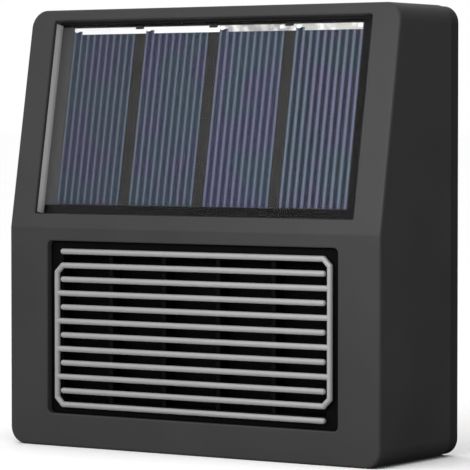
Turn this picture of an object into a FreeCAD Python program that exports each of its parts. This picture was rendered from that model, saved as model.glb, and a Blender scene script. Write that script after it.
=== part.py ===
import FreeCAD, Part
import math
import os

# A solar attic fan that hangs on a wall over a vent opening. A moulded box carries a solar panel
# on its sloped upper front and a guard of two interleaved wire combs on its lower front. Two
# axial fans behind the guard draw air from the back of the box and blow it out of the front.
# Millimetres, +Z up. The front faces -Y, and the origin is the centre of the back face.

V = FreeCAD.Vector
ACROSS = V(1, 0, 0)
BACKWARD = V(0, 1, 0)

# Housing
WIDTH = 150.0
HEIGHT = 150.0
DEPTH = 50.5
TOP_SETBACK = 13.4  # how far the top of the front lies behind its lower half
CORNER_R = 6.0
EDGE_R = 0.9
CREASE_R = 4.0
OPENING_EDGE_R = 0.5
WALL = 2.5
REAR_RIM = 5.5  # depth of the rear cover's own band
REAR_INSET = 0.3  # how far that band lies inside the front cover's sides
SEAM_EDGE = 0.35
BACK_EDGE = 0.6
SLOPE = math.degrees(math.atan2(TOP_SETBACK, HEIGHT / 2))
FRONT_Y = -DEPTH
INNER_FRONT_Y = FRONT_Y + WALL
JOIN_Y = -REAR_RIM
SHELF_Z = (0.4, 2.4)
SHELF_BACK_Y = -8.6
CASE_SCREW_XZ = 67.5
CASE_BOSS_R = 3.5
CASE_PILOT_R = 1.3
GUARD_SCREW_R = 1.1
SMALL_SCREW_R = 1.0

# Recess and panel, as depths under the sloped face and heights up the slope
RECESS_X = (-65.0, 64.0)
RECESS_V = (4.9, 72.4)
RECESS_R = 0.8
PANEL_FACE = 3.7
GLAZING_UNDER = 4.6
CELL_TOP = 4.8
CELL_UNDER = 5.0
BOND_LINE = 0.02  # clear adhesive between the cells and the backboard
BOARD_UNDER = 6.2
BED_DEPTH = 6.8
BED_WALL = 2.0
PANEL_GAP = 0.1
HOLLOW_GAP = 0.3
STRIP_FACE = 1.4
STRIP_GROOVE = 0.8  # how far the groove for the edge strip reaches behind the recess wall
STRIP_GAP = 0.05
GROOVE_LAP = 0.1  # overlap of the groove's cut with the recess
CELL_COUNT = 4
CELL_WIDTH = 26.0
CELL_PITCH = 30.5
CELL_MIDDLE_X = -0.7
CELL_V = (9.1, 70.6)
RIBBON_TALL = 2.2
RIBBON_LINK_TALL = 1.5
RIBBON_TAB = 3.5
RIBBON_THICK = 0.15

# Lower window and wire guard
WINDOW_X = 58.8
WINDOW_Z = (-63.7, -4.4)
WINDOW_R = 1.8
WIRE_R = 0.975
WIRE_Y = FRONT_Y + 1.1
WIRE_COUNT = 12
WIRE_PITCH = 4.78
WIRE_TOP_Z = -8.0
COMB_SPINE_X = 55.25
COMB_END_X = 52.7
COMB_CHAMFER = 2.4
GUARD_LAP = 2.5
GUARD_OPEN_X = 53.4
GUARD_OPEN_Z = (-59.2, -9.4)
GUARD_RIB_X = (-33.0, -11.0, 11.0, 33.0)
GUARD_RIB_W = 1.6
SCREEN_Y = (-43.3, -43.0)
PLATE_Y = (-43.0, -40.5)
PLATE_X = 62.0
PLATE_Z = (-66.5, -1.5)
EAR_X = 66.5
EAR_Z = (-54.0, -14.0)
EAR_R = 3.5

# Fans
FAN_X = 30.5
FAN_Z = -34.0
FAN_SIZE = 60.0
FAN_DEPTH = 15.0
FAN_BORE_R = 28.0
FAN_TUBE_R = 29.9
FAN_FLANGE = 3.0
FAN_HOLE = 25.0
FAN_HOLE_R = 2.15
FAN_Y = (PLATE_Y[1], PLATE_Y[1] + FAN_DEPTH)
STRUT_THICK = 2.0
HUB_PLATE_R = 15.0
HUB_PLATE = 1.5
BUSH_R = 2.5
BUSH_BORE_R = 1.55
BUSH_TUBE_R = 4.0
SHAFT_R = 1.5
CLIP_GROOVE_R = 1.1
ROTOR_R = (14.8, 13.4, 12.8, 11.2)  # hub outside, yoke outside, magnet outside, magnet inside
ROTOR_Y = (-38.0, -27.4)
HUB_FACE = 1.6
STATOR_Y = (-36.8, -32.8)
STATOR_R = 10.5
POLES = 4
BLADES = 7
BLADE_R = 27.0
BLADE_THICK = 1.2

# Rear cover
GUARD_HUB_R = 9.0
GUARD_SLOT = 3.6
GUARD_RING = 1.8
GUARD_SLOTS = 4
GUARD_SPOKE = 2.2
KEYHOLE_X = 50.0
KEYHOLE_Z = 50.0
KEYHOLE_R = 4.5
KEYHOLE_SLOT_R = 2.25
KEYHOLE_RISE = 8.0
KEYHOLE_DEEP = 6.5
SEAL_OUT = (63.2, -67.0, -0.8)
SEAL_IN = (59.8, -63.4, -4.4)
SEAL_THICK = 1.2
LIP_GAP = 0.2
LIP_THICK = 1.5
LIP_FRONT_Y = -8.0
GASKET = (0.8, 1.8, 0.6)  # inset of its outer side, inset of its inner side, thickness

# Electronics bay
BATTERY_R = 9.2
BATTERY_LONG = 65.0
BATTERY_YZ = (-15.0, 20.0)
HOLDER_X = 37.0
HOLDER_WALL = 1.8
HOLDER_FLOOR_Y = -27.0
HOLDER_LIP_Y = -13.0
HOLDER_EAR_X = 43.0
BOARD_X = 34.0
BOARD_Z = (34.0, 70.0)
BOARD_Y = (-14.0, -12.4)
BOARD_SCREW_X = 31.0
BOARD_SCREW_Z = (44.0, 66.5)
CONNECTOR_X = (-24.0, -12.0, 0.0, 12.0, 24.0)
CONNECTOR_Z = (42.0, 48.0)
LEAD_Y = -16.5
LEAD_R = 0.65
LEAD_BEND = 3.0
PANEL_LEAD_Z = 36.0
PIN_HALF = 1.0
GROMMET = (50.0, LEAD_Y)
GROMMET_R = (6.6, 5.0, 3.2)

# Power button in the left wall
BUTTON_YZ = (-20.5, 50.0)
BUTTON_RECESS_R = 9.0
BUTTON_RECESS = 3.0
BUTTON_FLANGE_R = 7.5
BUTTON_BODY_R = 6.0
BUTTON_CAP_R = 4.0
BUTTON_CAP_GAP = 0.08
WALL_X = -WIDTH / 2
SEAT_X = WALL_X + BUTTON_RECESS
FLANGE_X = SEAT_X - 1.6
STOP_X = SEAT_X + 0.5
CHAMBER_X = SEAT_X + 6.5


# ---------------------------------------------------------------- shapes

def box(x, y, z):
    """Block between pairs of x, y and z."""
    return Part.makeBox(x[1] - x[0], y[1] - y[0], z[1] - z[0], V(x[0], y[0], z[0]))


def rod(radius, start, end):
    """Round bar between two points."""
    return Part.makeCylinder(radius, (end - start).Length, start, end - start)


def disc(radius, x, z, y):
    """Round bar along Y between a pair of y."""
    return Part.makeCylinder(radius, y[1] - y[0], V(x, y[0], z), BACKWARD)


def ring(outer, inner, x, z, y):
    """Tube along Y."""
    return disc(outer, x, z, y).cut(disc(inner, x, z, y))


def side_disc(radius, x):
    """Round bar along X on the power button's axis, between a pair of x."""
    return Part.makeCylinder(radius, x[1] - x[0], V(x[0], *BUTTON_YZ), ACROSS)


def rounded(x, z, radius, y):
    """Block whose four edges along Y are rounded."""
    block = box(x, y, z)
    edges = [e for e in block.Edges if abs(e.tangentAt(e.FirstParameter).y) > 0.99]
    return block.makeFillet(radius, edges)


def outline(inset, y):
    """The housing's rounded square, drawn in by inset, between a pair of y."""
    half_x = WIDTH / 2 - inset
    half_z = HEIGHT / 2 - inset
    return rounded((-half_x, half_x), (-half_z, half_z), CORNER_R - inset, y)


def join(shapes):
    """One solid from shapes that touch or overlap."""
    return shapes[0].multiFuse(shapes[1:]).removeSplitter() if len(shapes) > 1 else shapes[0]


def group(shapes):
    """Separate solids in one node."""
    return Part.makeCompound(shapes)


def on_slope(shape):
    """Lays a shape drawn against y = 0 on the sloped face; its z then runs up from the crease."""
    laid = shape.copy()
    laid.rotate(V(0, 0, 0), ACROSS, -SLOPE)
    laid.translate(V(0, FRONT_Y, 0))
    return laid


def slope_y(depth, z):
    """Y of the plane that lies depth under the sloped face, at height z."""
    tilt = math.radians(SLOPE)
    return FRONT_Y + depth / math.cos(tilt) + z * math.tan(tilt)


def turned(shape, degrees, x, z):
    """A copy turned about the Y axis through x, z."""
    copy = shape.copy()
    copy.rotate(V(x, 0, z), BACKWARD, degrees)
    return copy


def screw(x, z, head_y, head_r, head_tall, shank_r, shank_long):
    """Pan-head screw driven towards the front; head_y is the seat under its head."""
    head = disc(head_r, x, z, (head_y, head_y + head_tall))
    top = [e for e in head.Edges if abs(e.BoundBox.YMin - head_y - head_tall) < 1e-6]
    head = head.makeFillet(head_tall * 0.45, top)
    arm = head_r * 0.62
    slot_y = (head_y + head_tall * 0.45, head_y + head_tall + 1)
    cross = [
        box((x - arm, x + arm), slot_y, (z - 0.4, z + 0.4)),
        box((x - 0.4, x + 0.4), slot_y, (z - arm, z + arm)),
    ]
    tip = Part.makeCone(shank_r * 0.3, shank_r, shank_r, V(x, head_y - shank_long, z), BACKWARD)
    shank = disc(shank_r, x, z, (head_y - shank_long + shank_r, head_y))
    return join([head, shank, tip]).cut(join(cross))


def lead(points, radius=LEAD_R, bend=LEAD_BEND):
    """Insulated wire along straight runs that are joined by tangent arcs."""
    points = [V(*p) for p in points]
    edges = []
    start = points[0]
    for before, corner, after in zip(points, points[1:], points[2:]):
        into = (corner - before).normalize()
        out = (after - corner).normalize()
        half_turn = into.getAngle(out) / 2
        room = 0.45 * min((corner - before).Length, (after - corner).Length)
        cut = min(room, bend * math.tan(half_turn))
        arc_r = cut / math.tan(half_turn)
        first = corner - into * cut
        last = corner + out * cut
        inward = (out - into).normalize()
        middle = corner + inward * (arc_r / math.cos(half_turn) - arc_r)
        edges.append(Part.LineSegment(start, first).toShape())
        edges.append(Part.Arc(first, middle, last).toShape())
        start = last
    edges.append(Part.LineSegment(start, points[-1]).toShape())
    path = Part.Wire(edges)
    circle = Part.Wire(Part.makeCircle(radius, points[0], points[1] - points[0]))
    tube = path.makePipeShell([circle], True, False)
    expected = math.pi * radius**2 * path.Length
    if abs(tube.Volume - expected) > 0.01 * expected:
        raise ValueError("a lead's volume does not match its section times its length")
    return tube


# ---------------------------------------------------------------- housing

def is_on_front(edge):
    """True for an edge that lies in the front surface, apart from the crease's own two lines."""
    middle = edge.valueAt((edge.FirstParameter + edge.LastParameter) / 2)
    surface_y = FRONT_Y + max(0.0, middle.z) * TOP_SETBACK / (HEIGHT / 2)
    along_crease = edge.BoundBox.XLength > WIDTH / 2 and abs(middle.z) < 1
    return abs(middle.y - surface_y) < 0.05 and not along_crease


def lies_at(edge, y):
    """True for an edge that lies in the plane at y."""
    return abs(edge.BoundBox.YMin - y) < 1e-6 and abs(edge.BoundBox.YMax - y) < 1e-6


def housing_body():
    """Outer form of the front cover, still solid."""
    body = outline(0, (FRONT_Y, JOIN_Y))
    body = body.cut(on_slope(box((-WIDTH, WIDTH), (-DEPTH, 0), (0, HEIGHT))))
    crease = [
        e for e in body.Edges
        if e.BoundBox.XLength > WIDTH / 2 and abs(e.BoundBox.ZMin) < 0.01
        and e.BoundBox.YMin < FRONT_Y + 1
    ]
    body = body.makeFillet(CREASE_R, crease)
    body = body.makeFillet(EDGE_R, [e for e in body.Edges if is_on_front(e)])
    return body.makeChamfer(SEAM_EDGE, [e for e in body.Edges if lies_at(e, JOIN_Y)])


def case_screw_places():
    return [(sx * CASE_SCREW_XZ, sz * CASE_SCREW_XZ) for sx in (-1, 1) for sz in (-1, 1)]


def ear_places():
    return [(side * EAR_X, z) for side in (-1, 1) for z in EAR_Z]


def board_screw_places():
    return [(side * BOARD_SCREW_X, z) for side in (-1, 1) for z in BOARD_SCREW_Z]


def holder_screw_places():
    return [(side * HOLDER_EAR_X, BATTERY_YZ[1]) for side in (-1, 1)]


def bed_boss(x, z, radius, tip_y):
    """Post from the back of the panel bed to tip_y."""
    return disc(radius, x, z, (slope_y(BED_DEPTH + BED_WALL / 2, z), tip_y))


def front_cover():
    cavity = outline(WALL, (INNER_FRONT_Y, JOIN_Y + 1))
    cavity = cavity.cut(on_slope(box((-WIDTH, WIDTH), (-DEPTH, WALL), (-WALL, HEIGHT))))
    pocket = on_slope(box(
        (RECESS_X[0] - BED_WALL, RECESS_X[1] + BED_WALL),
        (WALL / 2, BED_DEPTH + BED_WALL),
        (RECESS_V[0] - BED_WALL, RECESS_V[1] + 1.6),
    ))
    inner_x = WIDTH / 2 - WALL / 2
    parts = [housing_body().cut(cavity), pocket]
    parts.append(box((-inner_x, inner_x), (INNER_FRONT_Y - WALL / 2, SHELF_BACK_Y), SHELF_Z))
    for x, z in case_screw_places():
        front = slope_y(WALL / 2, z) if z > 0 else INNER_FRONT_Y - WALL / 2
        parts.append(disc(CASE_BOSS_R, x, z, (front, JOIN_Y)))
        web_x = (x, inner_x) if x > 0 else (-inner_x, x)
        web_z = (z, inner_x) if z > 0 else (-inner_x, z)
        parts.append(box(web_x, (front, JOIN_Y - 1), (z - 0.8, z + 0.8)))
        parts.append(box((x - 0.8, x + 0.8), (front, JOIN_Y - 1), web_z))
    parts += [disc(3.0, x, z, (INNER_FRONT_Y - WALL / 2, PLATE_Y[0])) for x, z in ear_places()]
    parts += [bed_boss(x, z, 3.0, BOARD_Y[0]) for x, z in board_screw_places()]
    parts += [bed_boss(x, z, 3.2, HOLDER_FLOOR_Y) for x, z in holder_screw_places()]
    parts.append(side_disc(BUTTON_RECESS_R + 2, (WALL_X + WALL / 2, SEAT_X + WALL)))
    cover = join(parts)
    recess = on_slope(rounded(RECESS_X, RECESS_V, RECESS_R, (-WALL, BED_DEPTH)))
    groove = on_slope(edge_slab(-STRIP_GROOVE, GROOVE_LAP))
    window = rounded((-WINDOW_X, WINDOW_X), WINDOW_Z, WINDOW_R, (FRONT_Y - 1, INNER_FRONT_Y + 1))
    cover = cover.cut(recess).cut(groove).cut(window)
    reach = max(WINDOW_X, -RECESS_X[0], RECESS_X[1]) + 0.1
    openings = [
        e for e in cover.Edges
        if is_on_front(e) and max(-e.BoundBox.XMin, e.BoundBox.XMax) < reach
    ]
    cover = cover.makeFillet(OPENING_EDGE_R, openings)
    return cover.cut(join_tools(front_cover_holes()))


def front_cover_holes():
    """Screw pilots, the button's seat and hole, and the ways through for the leads."""
    holes = [disc(CASE_PILOT_R, x, z, (JOIN_Y - 14, JOIN_Y + 1)) for x, z in case_screw_places()]
    pilots = [
        (GUARD_SCREW_R, ear_places(), (INNER_FRONT_Y - 0.6, PLATE_Y[0] + 1)),
        (SMALL_SCREW_R, board_screw_places(), (BOARD_Y[0] - 8, BOARD_Y[0] + 1)),
        (SMALL_SCREW_R, holder_screw_places(), (HOLDER_FLOOR_Y - 6, HOLDER_FLOOR_Y + 1)),
    ]
    for radius, places, y in pilots:
        holes += [disc(radius, x, z, y) for x, z in places]
    holes.append(side_disc(BUTTON_RECESS_R, (WALL_X - 1, SEAT_X)))
    holes.append(side_disc(BUTTON_BODY_R + 0.1, (WALL_X, SEAT_X + 7)))
    holes.append(rod(GROMMET_R[1], V(*GROMMET, SHELF_Z[0] - 1), V(*GROMMET, SHELF_Z[1] + 1)))
    bed_front = slope_y(BED_DEPTH, PANEL_LEAD_Z)
    holes.append(disc(3.0, CONNECTOR_X[1], PANEL_LEAD_Z, (bed_front - 2, bed_front + BED_WALL + 2)))
    return holes


def join_tools(tools):
    """Cutting tools as one compound."""
    return Part.makeCompound(tools)


def intake_slots(x):
    """Ring-shaped slots of one intake guard, crossed by four spokes."""
    span = (-WALL - 1, 1)
    slots = []
    for k in range(GUARD_SLOTS):
        inner = GUARD_HUB_R + k * (GUARD_SLOT + GUARD_RING)
        slots.append(ring(inner + GUARD_SLOT, inner, x, FAN_Z, span))
    half = GUARD_SPOKE / 2
    reach = FAN_BORE_R + 2
    spoke = box((x - reach, x + reach), span, (FAN_Z - half, FAN_Z + half))
    spokes = [turned(spoke, angle, x, FAN_Z) for angle in (45, 135)]
    return join_tools(slots).cut(join_tools(spokes))


def keyhole(x):
    """Round entry with a narrow slot above it, cut into a closed pocket."""
    top = KEYHOLE_Z + KEYHOLE_RISE
    entry = disc(KEYHOLE_R, x, KEYHOLE_Z, (-WALL - 0.5, 1))
    slot = box((x - KEYHOLE_SLOT_R, x + KEYHOLE_SLOT_R), (-WALL - 0.5, 1), (KEYHOLE_Z, top))
    end = disc(KEYHOLE_SLOT_R, x, top, (-WALL - 0.5, 1))
    half = KEYHOLE_R + 0.6
    pocket = box((x - half, x + half), (-KEYHOLE_DEEP, -WALL), (KEYHOLE_Z - half, top + half))
    return join([entry, slot, end, pocket])


def keyhole_housing(x):
    """Closed pocket behind a keyhole that keeps rain out of the box."""
    half = KEYHOLE_R + 0.6 + 1.2
    top = KEYHOLE_Z + KEYHOLE_RISE
    return box((x - half, x + half), (-KEYHOLE_DEEP - 1.2, -WALL / 2), (KEYHOLE_Z - half, top + half))


def rectangle_ring(outer, inner, y):
    """Flat frame between two rectangles, each given as half width, bottom and top."""
    block = rounded((-outer[0], outer[0]), outer[1:], 2.0, y)
    return block.cut(rounded((-inner[0], inner[0]), inner[1:], 1.0, (y[0] - 1, y[1] + 1)))


def rear_cover():
    plate = outline(REAR_INSET, (JOIN_Y, 0))
    plate = plate.makeChamfer(BACK_EDGE, [e for e in plate.Edges if lies_at(e, 0)])
    plate = plate.makeChamfer(SEAM_EDGE, [e for e in plate.Edges if lies_at(e, JOIN_Y)])
    plate = plate.cut(outline(WALL, (JOIN_Y - 1, -WALL)))
    lip = outline(WALL + LIP_GAP, (LIP_FRONT_Y, -WALL / 2))
    lip = lip.cut(outline(WALL + LIP_GAP + LIP_THICK, (LIP_FRONT_Y - 1, -WALL)))
    clear = [disc(CASE_BOSS_R + 4, x, z, (LIP_FRONT_Y - 1, -WALL)) for x, z in case_screw_places()]
    lip = lip.cut(join_tools(clear))
    posts = [disc(CASE_BOSS_R, x, z, (JOIN_Y, -WALL / 2)) for x, z in case_screw_places()]
    cover = join([plate, lip] + posts + [keyhole_housing(s * KEYHOLE_X) for s in (-1, 1)])
    for x, z in case_screw_places():
        cover = cover.cut(disc(1.7, x, z, (JOIN_Y - 1, 1))).cut(disc(3.2, x, z, (-2.6, 1)))
    for side in (-1, 1):
        cover = cover.cut(intake_slots(side * FAN_X)).cut(keyhole(side * KEYHOLE_X))
    cover = cover.cut(rectangle_ring(SEAL_OUT, SEAL_IN, (-SEAL_THICK, 1)))
    outer = outline(GASKET[0], (JOIN_Y - 1, JOIN_Y + GASKET[2]))
    return cover.cut(outer.cut(outline(GASKET[1], (JOIN_Y - 2, JOIN_Y + 2))))


def case_gasket():
    y = (JOIN_Y, JOIN_Y + GASKET[2])
    return outline(GASKET[0], y).cut(outline(GASKET[1], y))


def case_screws():
    return group([screw(x, z, -2.6, 2.9, 2.0, CASE_PILOT_R, 14) for x, z in case_screw_places()])


# ---------------------------------------------------------------- solar panel

def cell_centre(index):
    return CELL_MIDDLE_X + (index - (CELL_COUNT - 1) / 2) * CELL_PITCH


def panel_slab(depths, inset):
    """Slab that fills the recess but for inset all round."""
    x = (RECESS_X[0] + inset, RECESS_X[1] - inset)
    return rounded(x, (RECESS_V[0] + inset, RECESS_V[1] - inset), RECESS_R, depths)


def edge_slab(start, end):
    """Upright slab along the recess's left wall; start and end are measured from that wall."""
    x = (RECESS_X[0] + start, RECESS_X[0] + end)
    return box(x, (STRIP_FACE, BED_DEPTH), (RECESS_V[0] + RECESS_R, RECESS_V[1] - RECESS_R))


def panel_glazing():
    reach = CELL_WIDTH / 2 + HOLLOW_GAP
    x = (cell_centre(0) - reach, cell_centre(CELL_COUNT - 1) + reach)
    up = (CELL_V[0] - HOLLOW_GAP, CELL_V[1] + HOLLOW_GAP)
    hollow = box(x, (GLAZING_UNDER, CELL_UNDER), up)
    return on_slope(panel_slab((PANEL_FACE, CELL_UNDER), PANEL_GAP).cut(hollow))


def panel_edge_strip():
    """Pale strip glued into the groove along the recess's left wall."""
    return on_slope(edge_slab(STRIP_GAP - STRIP_GROOVE, -STRIP_GAP))


def panel_backboard():
    return on_slope(panel_slab((CELL_UNDER + BOND_LINE, BOARD_UNDER), PANEL_GAP))


def panel_seal():
    outer = panel_slab((BOARD_UNDER, BED_DEPTH), PANEL_GAP)
    return on_slope(outer.cut(panel_slab((BOARD_UNDER, BED_DEPTH), 5.0)))


def solar_cell(index):
    half = CELL_WIDTH / 2
    x = (cell_centre(index) - half, cell_centre(index) + half)
    return on_slope(box(x, (CELL_TOP, CELL_UNDER), CELL_V))


def cell_ribbon(index):
    """Silver strip along a cell's top, with a link across the gap and a tab on the next cell."""
    left = cell_centre(index) - CELL_WIDTH / 2
    right = left + CELL_WIDTH
    y = (CELL_TOP - RIBBON_THICK, CELL_TOP)
    low = CELL_V[1] - RIBBON_TALL
    shapes = [box((left + RIBBON_TAB, right), y, (low, CELL_V[1]))]
    if index < CELL_COUNT - 1:
        gap = CELL_PITCH - CELL_WIDTH
        shapes.append(box((right, right + gap), y, (low, low + RIBBON_LINK_TALL)))
        shapes.append(box((right + gap - 1, right + gap + RIBBON_TAB), y, (low + 1.1, CELL_V[1])))
    if index == 0:
        shapes.append(box((left, left + RIBBON_TAB), y, (low + 1.1, CELL_V[1])))
    return on_slope(join(shapes))


def panel_leads():
    start_y = slope_y(BOARD_UNDER, PANEL_LEAD_Z) + 0.15
    wires = []
    for pin in (-PIN_HALF, PIN_HALF):
        x = CONNECTOR_X[1] + pin
        route = [(x, start_y, PANEL_LEAD_Z), (x, LEAD_Y, PANEL_LEAD_Z), (x, LEAD_Y, CONNECTOR_Z[0])]
        wires.append(lead(route))
    return group(wires)


# ---------------------------------------------------------------- wire guard

def wire_z(number):
    """Height of a wire, counted from 1 at the top."""
    return WIRE_TOP_Z - (number - 1) * WIRE_PITCH


def round_wire(points):
    """Bent round wire with rounded ends."""
    points = [V(x, WIRE_Y, z) for x, z in points]
    shapes = [rod(WIRE_R, a, b) for a, b in zip(points, points[1:])]
    return shapes + [Part.makeSphere(WIRE_R, p) for p in points]


def wire_comb(side, first):
    """Every second wire from first, joined at one side by an upright with cut corners."""
    last = first + WIRE_COUNT - 2
    top, bottom = wire_z(first), wire_z(last)
    spine, end = side * COMB_SPINE_X, -side * COMB_END_X
    corner_x = spine - side * COMB_CHAMFER
    shapes = round_wire([
        (end, top), (corner_x, top), (spine, top - COMB_CHAMFER),
        (spine, bottom + COMB_CHAMFER), (corner_x, bottom), (end, bottom),
    ])
    for number in range(first + 2, last, 2):
        shapes += round_wire([(end, wire_z(number)), (spine, wire_z(number))])
    return join(shapes)


def guard_frame(combs):
    """Black carrier behind the wires; its ribs are notched where the wires rest."""
    x = WINDOW_X + GUARD_LAP
    z = (WINDOW_Z[0] - GUARD_LAP, WINDOW_Z[1] + GUARD_LAP)
    seat_y = WIRE_Y + WIRE_R
    flange = rounded((-x, x), z, 3.0, (INNER_FRONT_Y, SCREEN_Y[0]))
    plug_z = (WINDOW_Z[0] + 0.3, WINDOW_Z[1] - 0.3)
    plug_x = WINDOW_X - 0.3
    plug = rounded((-plug_x, plug_x), plug_z, WINDOW_R - 0.3, (seat_y, INNER_FRONT_Y))
    opening = box((-GUARD_OPEN_X, GUARD_OPEN_X), (FRONT_Y, SCREEN_Y[0] + 1), GUARD_OPEN_Z)
    half = GUARD_RIB_W / 2
    rib_z = (GUARD_OPEN_Z[0] - 1.0, GUARD_OPEN_Z[1] + 1.0)
    ribs = [box((x - half, x + half), (seat_y - 0.3, SCREEN_Y[0]), rib_z) for x in GUARD_RIB_X]
    return join([join([flange, plug]).cut(opening)] + ribs).cut(join_tools(combs))


def insect_screen():
    return box((-60.0, 60.0), SCREEN_Y, (-65.0, -3.1))


def fan_corner_places():
    return [
        (side * FAN_X + dx * FAN_HOLE, FAN_Z + dz * FAN_HOLE)
        for side in (-1, 1) for dx in (-1, 1) for dz in (-1, 1)
    ]


def fan_plate():
    """Plate that clamps the screen and carries both fans."""
    plate = rounded((-PLATE_X, PLATE_X), PLATE_Z, 3.0, PLATE_Y)
    ears = [disc(EAR_R, x, z, PLATE_Y) for x, z in ear_places()]
    for x, z in ear_places():
        inner = PLATE_X - 1 if x > 0 else 1 - PLATE_X
        ears.append(box((min(x, inner), max(x, inner)), PLATE_Y, (z - EAR_R, z + EAR_R)))
    holes = [disc(1.6, x, z, PLATE_Y) for x, z in ear_places()]
    holes += [disc(FAN_BORE_R, side * FAN_X, FAN_Z, PLATE_Y) for side in (-1, 1)]
    holes += [disc(2.2, x, z, PLATE_Y) for x, z in fan_corner_places()]
    holes += [countersink(x, z, 0.1) for x, z in fan_corner_places()]
    return join([plate] + ears).cut(join_tools(holes))


def countersink(x, z, gap):
    """Cone of a countersunk head, with its wide end at the plate's front."""
    return Part.makeCone(3.7 + gap, 2.1 + gap, 1.8, V(x, PLATE_Y[0], z), BACKWARD)


def fan_screws():
    screws = []
    for x, z in fan_corner_places():
        shank = disc(2.1, x, z, (PLATE_Y[0] + 1.8, PLATE_Y[1] + 8))
        cross = [
            box((x - 2, x + 2), (PLATE_Y[0] - 1, PLATE_Y[0] + 1), (z - 0.4, z + 0.4)),
            box((x - 0.4, x + 0.4), (PLATE_Y[0] - 1, PLATE_Y[0] + 1), (z - 2, z + 2)),
        ]
        screws.append(join([countersink(x, z, 0), shank]).cut(join(cross)))
    return group(screws)


def guard_screws():
    return group([screw(x, z, PLATE_Y[1], 2.6, 1.8, GUARD_SCREW_R, 5.2) for x, z in ear_places()])


# ---------------------------------------------------------------- fans

def fan_frame(x):
    square = FAN_SIZE / 2
    flanges = [
        rounded((x - square, x + square), (FAN_Z - square, FAN_Z + square), 4.0, y)
        for y in ((FAN_Y[0], FAN_Y[0] + FAN_FLANGE), (FAN_Y[1] - FAN_FLANGE, FAN_Y[1]))
    ]
    frame = join(flanges + [disc(FAN_TUBE_R, x, FAN_Z, FAN_Y)])
    frame = frame.cut(disc(FAN_BORE_R, x, FAN_Z, (FAN_Y[0] - 1, FAN_Y[1] + 1)))
    corners = [disc(FAN_HOLE_R, a, b, (FAN_Y[0] - 1, FAN_Y[1] + 1)) for a, b in fan_corner_places()]
    frame = frame.cut(join_tools(corners))
    strut_y = (FAN_Y[0], FAN_Y[0] + STRUT_THICK)
    reach = (FAN_Z + HUB_PLATE_R - 2, FAN_Z + FAN_BORE_R + 1)
    arm = box((x - 1.6, x + 1.6), strut_y, reach)
    struts = [turned(arm, angle, x, FAN_Z) for angle in (90, 180, 270)]
    struts.append(box((x - 2.6, x + 2.6), strut_y, reach))
    hub = disc(HUB_PLATE_R, x, FAN_Z, (FAN_Y[0], FAN_Y[0] + HUB_PLATE))
    tube = disc(BUSH_TUBE_R, x, FAN_Z, (FAN_Y[0] + HUB_PLATE / 2, -30.5))
    frame = join([frame, hub, tube] + struts)
    frame = frame.cut(disc(BUSH_R, x, FAN_Z, (FAN_Y[0] + 2.0, 0)))
    frame = frame.cut(disc(3.3, x, FAN_Z, (FAN_Y[0] + 0.6, FAN_Y[0] + 2.0)))
    wide = (x - 1.6, x + 1.6)
    top = FAN_Z + square + 1
    channel = box(wide, (FAN_Y[0] - 1, FAN_Y[0] + 1.5), (FAN_Z + 8, top))
    mouth = box(wide, (FAN_Y[0] - 1, FAN_Y[0] + FAN_FLANGE), (FAN_Z + FAN_BORE_R, top))
    return frame.cut(join_tools([channel, mouth]))


def fan_bush(x):
    return ring(BUSH_R, BUSH_BORE_R, x, FAN_Z, (FAN_Y[0] + 2.0, -30.6))


def fan_board(x):
    return ring(10.8, BUSH_TUBE_R + 0.1, x, FAN_Z, (FAN_Y[0] + HUB_PLATE, FAN_Y[0] + HUB_PLATE + 0.8))


def stator_core(x):
    """Laminated core: a collar on the bush tube with T-shaped poles."""
    collar = ring(5.4, BUSH_TUBE_R + 0.05, x, FAN_Z, STATOR_Y)
    neck = box((x - 1.4, x + 1.4), STATOR_Y, (FAN_Z + 5, FAN_Z + 9.2))
    face = ring(STATOR_R, 8.8, x, FAN_Z, STATOR_Y)
    keep = box((x - 6, x + 6), STATOR_Y, (FAN_Z + 6, FAN_Z + 12))
    pole = join([neck, face.common(keep)])
    return join([collar] + [turned(pole, 360 / POLES * k, x, FAN_Z) for k in range(POLES)])


def stator_coils(x):
    """One winding round each pole's neck."""
    y = (STATOR_Y[0] - 0.9, STATOR_Y[1] + 0.9)
    winding = box((x - 3.2, x + 3.2), y, (FAN_Z + 5.7, FAN_Z + 8.0))
    edges = [e for e in winding.Edges if abs(e.tangentAt(e.FirstParameter).z) > 0.99]
    winding = winding.makeFillet(0.8, edges)
    neck = box((x - 1.45, x + 1.45), (STATOR_Y[0] - 0.05, STATOR_Y[1] + 0.05), (FAN_Z, FAN_Z + 12))
    winding = winding.cut(neck)
    return group([turned(winding, 360 / POLES * k, x, FAN_Z) for k in range(POLES)])


def magnet_ring(x):
    return ring(ROTOR_R[2], ROTOR_R[3], x, FAN_Z, (ROTOR_Y[0] + 0.4, -31.2))


def rotor_yoke(x):
    """Steel cup that carries the magnet."""
    cup = disc(ROTOR_R[1], x, FAN_Z, (ROTOR_Y[0] + 0.3, ROTOR_Y[1] - HUB_FACE))
    cup = cup.cut(disc(ROTOR_R[2], x, FAN_Z, (ROTOR_Y[0], ROTOR_Y[1] - HUB_FACE - 0.6)))
    return cup.cut(disc(3.0, x, FAN_Z, (ROTOR_Y[0], ROTOR_Y[1])))


def blade_section(radius, pitch, chord, x):
    """Thin lens across a blade at a radius, tilted by pitch from the plane of rotation."""
    half = chord / 2
    bulge = BLADE_THICK / 2
    y = (ROTOR_Y[0] + ROTOR_Y[1]) / 2
    points = [(-half, 0), (0, bulge + 0.9), (half, 0), (0, 0.9 - bulge)]
    tilt = math.radians(pitch)
    placed = []
    for along, off in points:
        placed.append(V(
            x + along * math.cos(tilt) - off * math.sin(tilt),
            y + along * math.sin(tilt) + off * math.cos(tilt),
            FAN_Z + radius,
        ))
    upper = Part.Arc(placed[0], placed[1], placed[2]).toShape()
    lower = Part.Arc(placed[2], placed[3], placed[0]).toShape()
    return Part.Wire([upper, lower])


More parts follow.
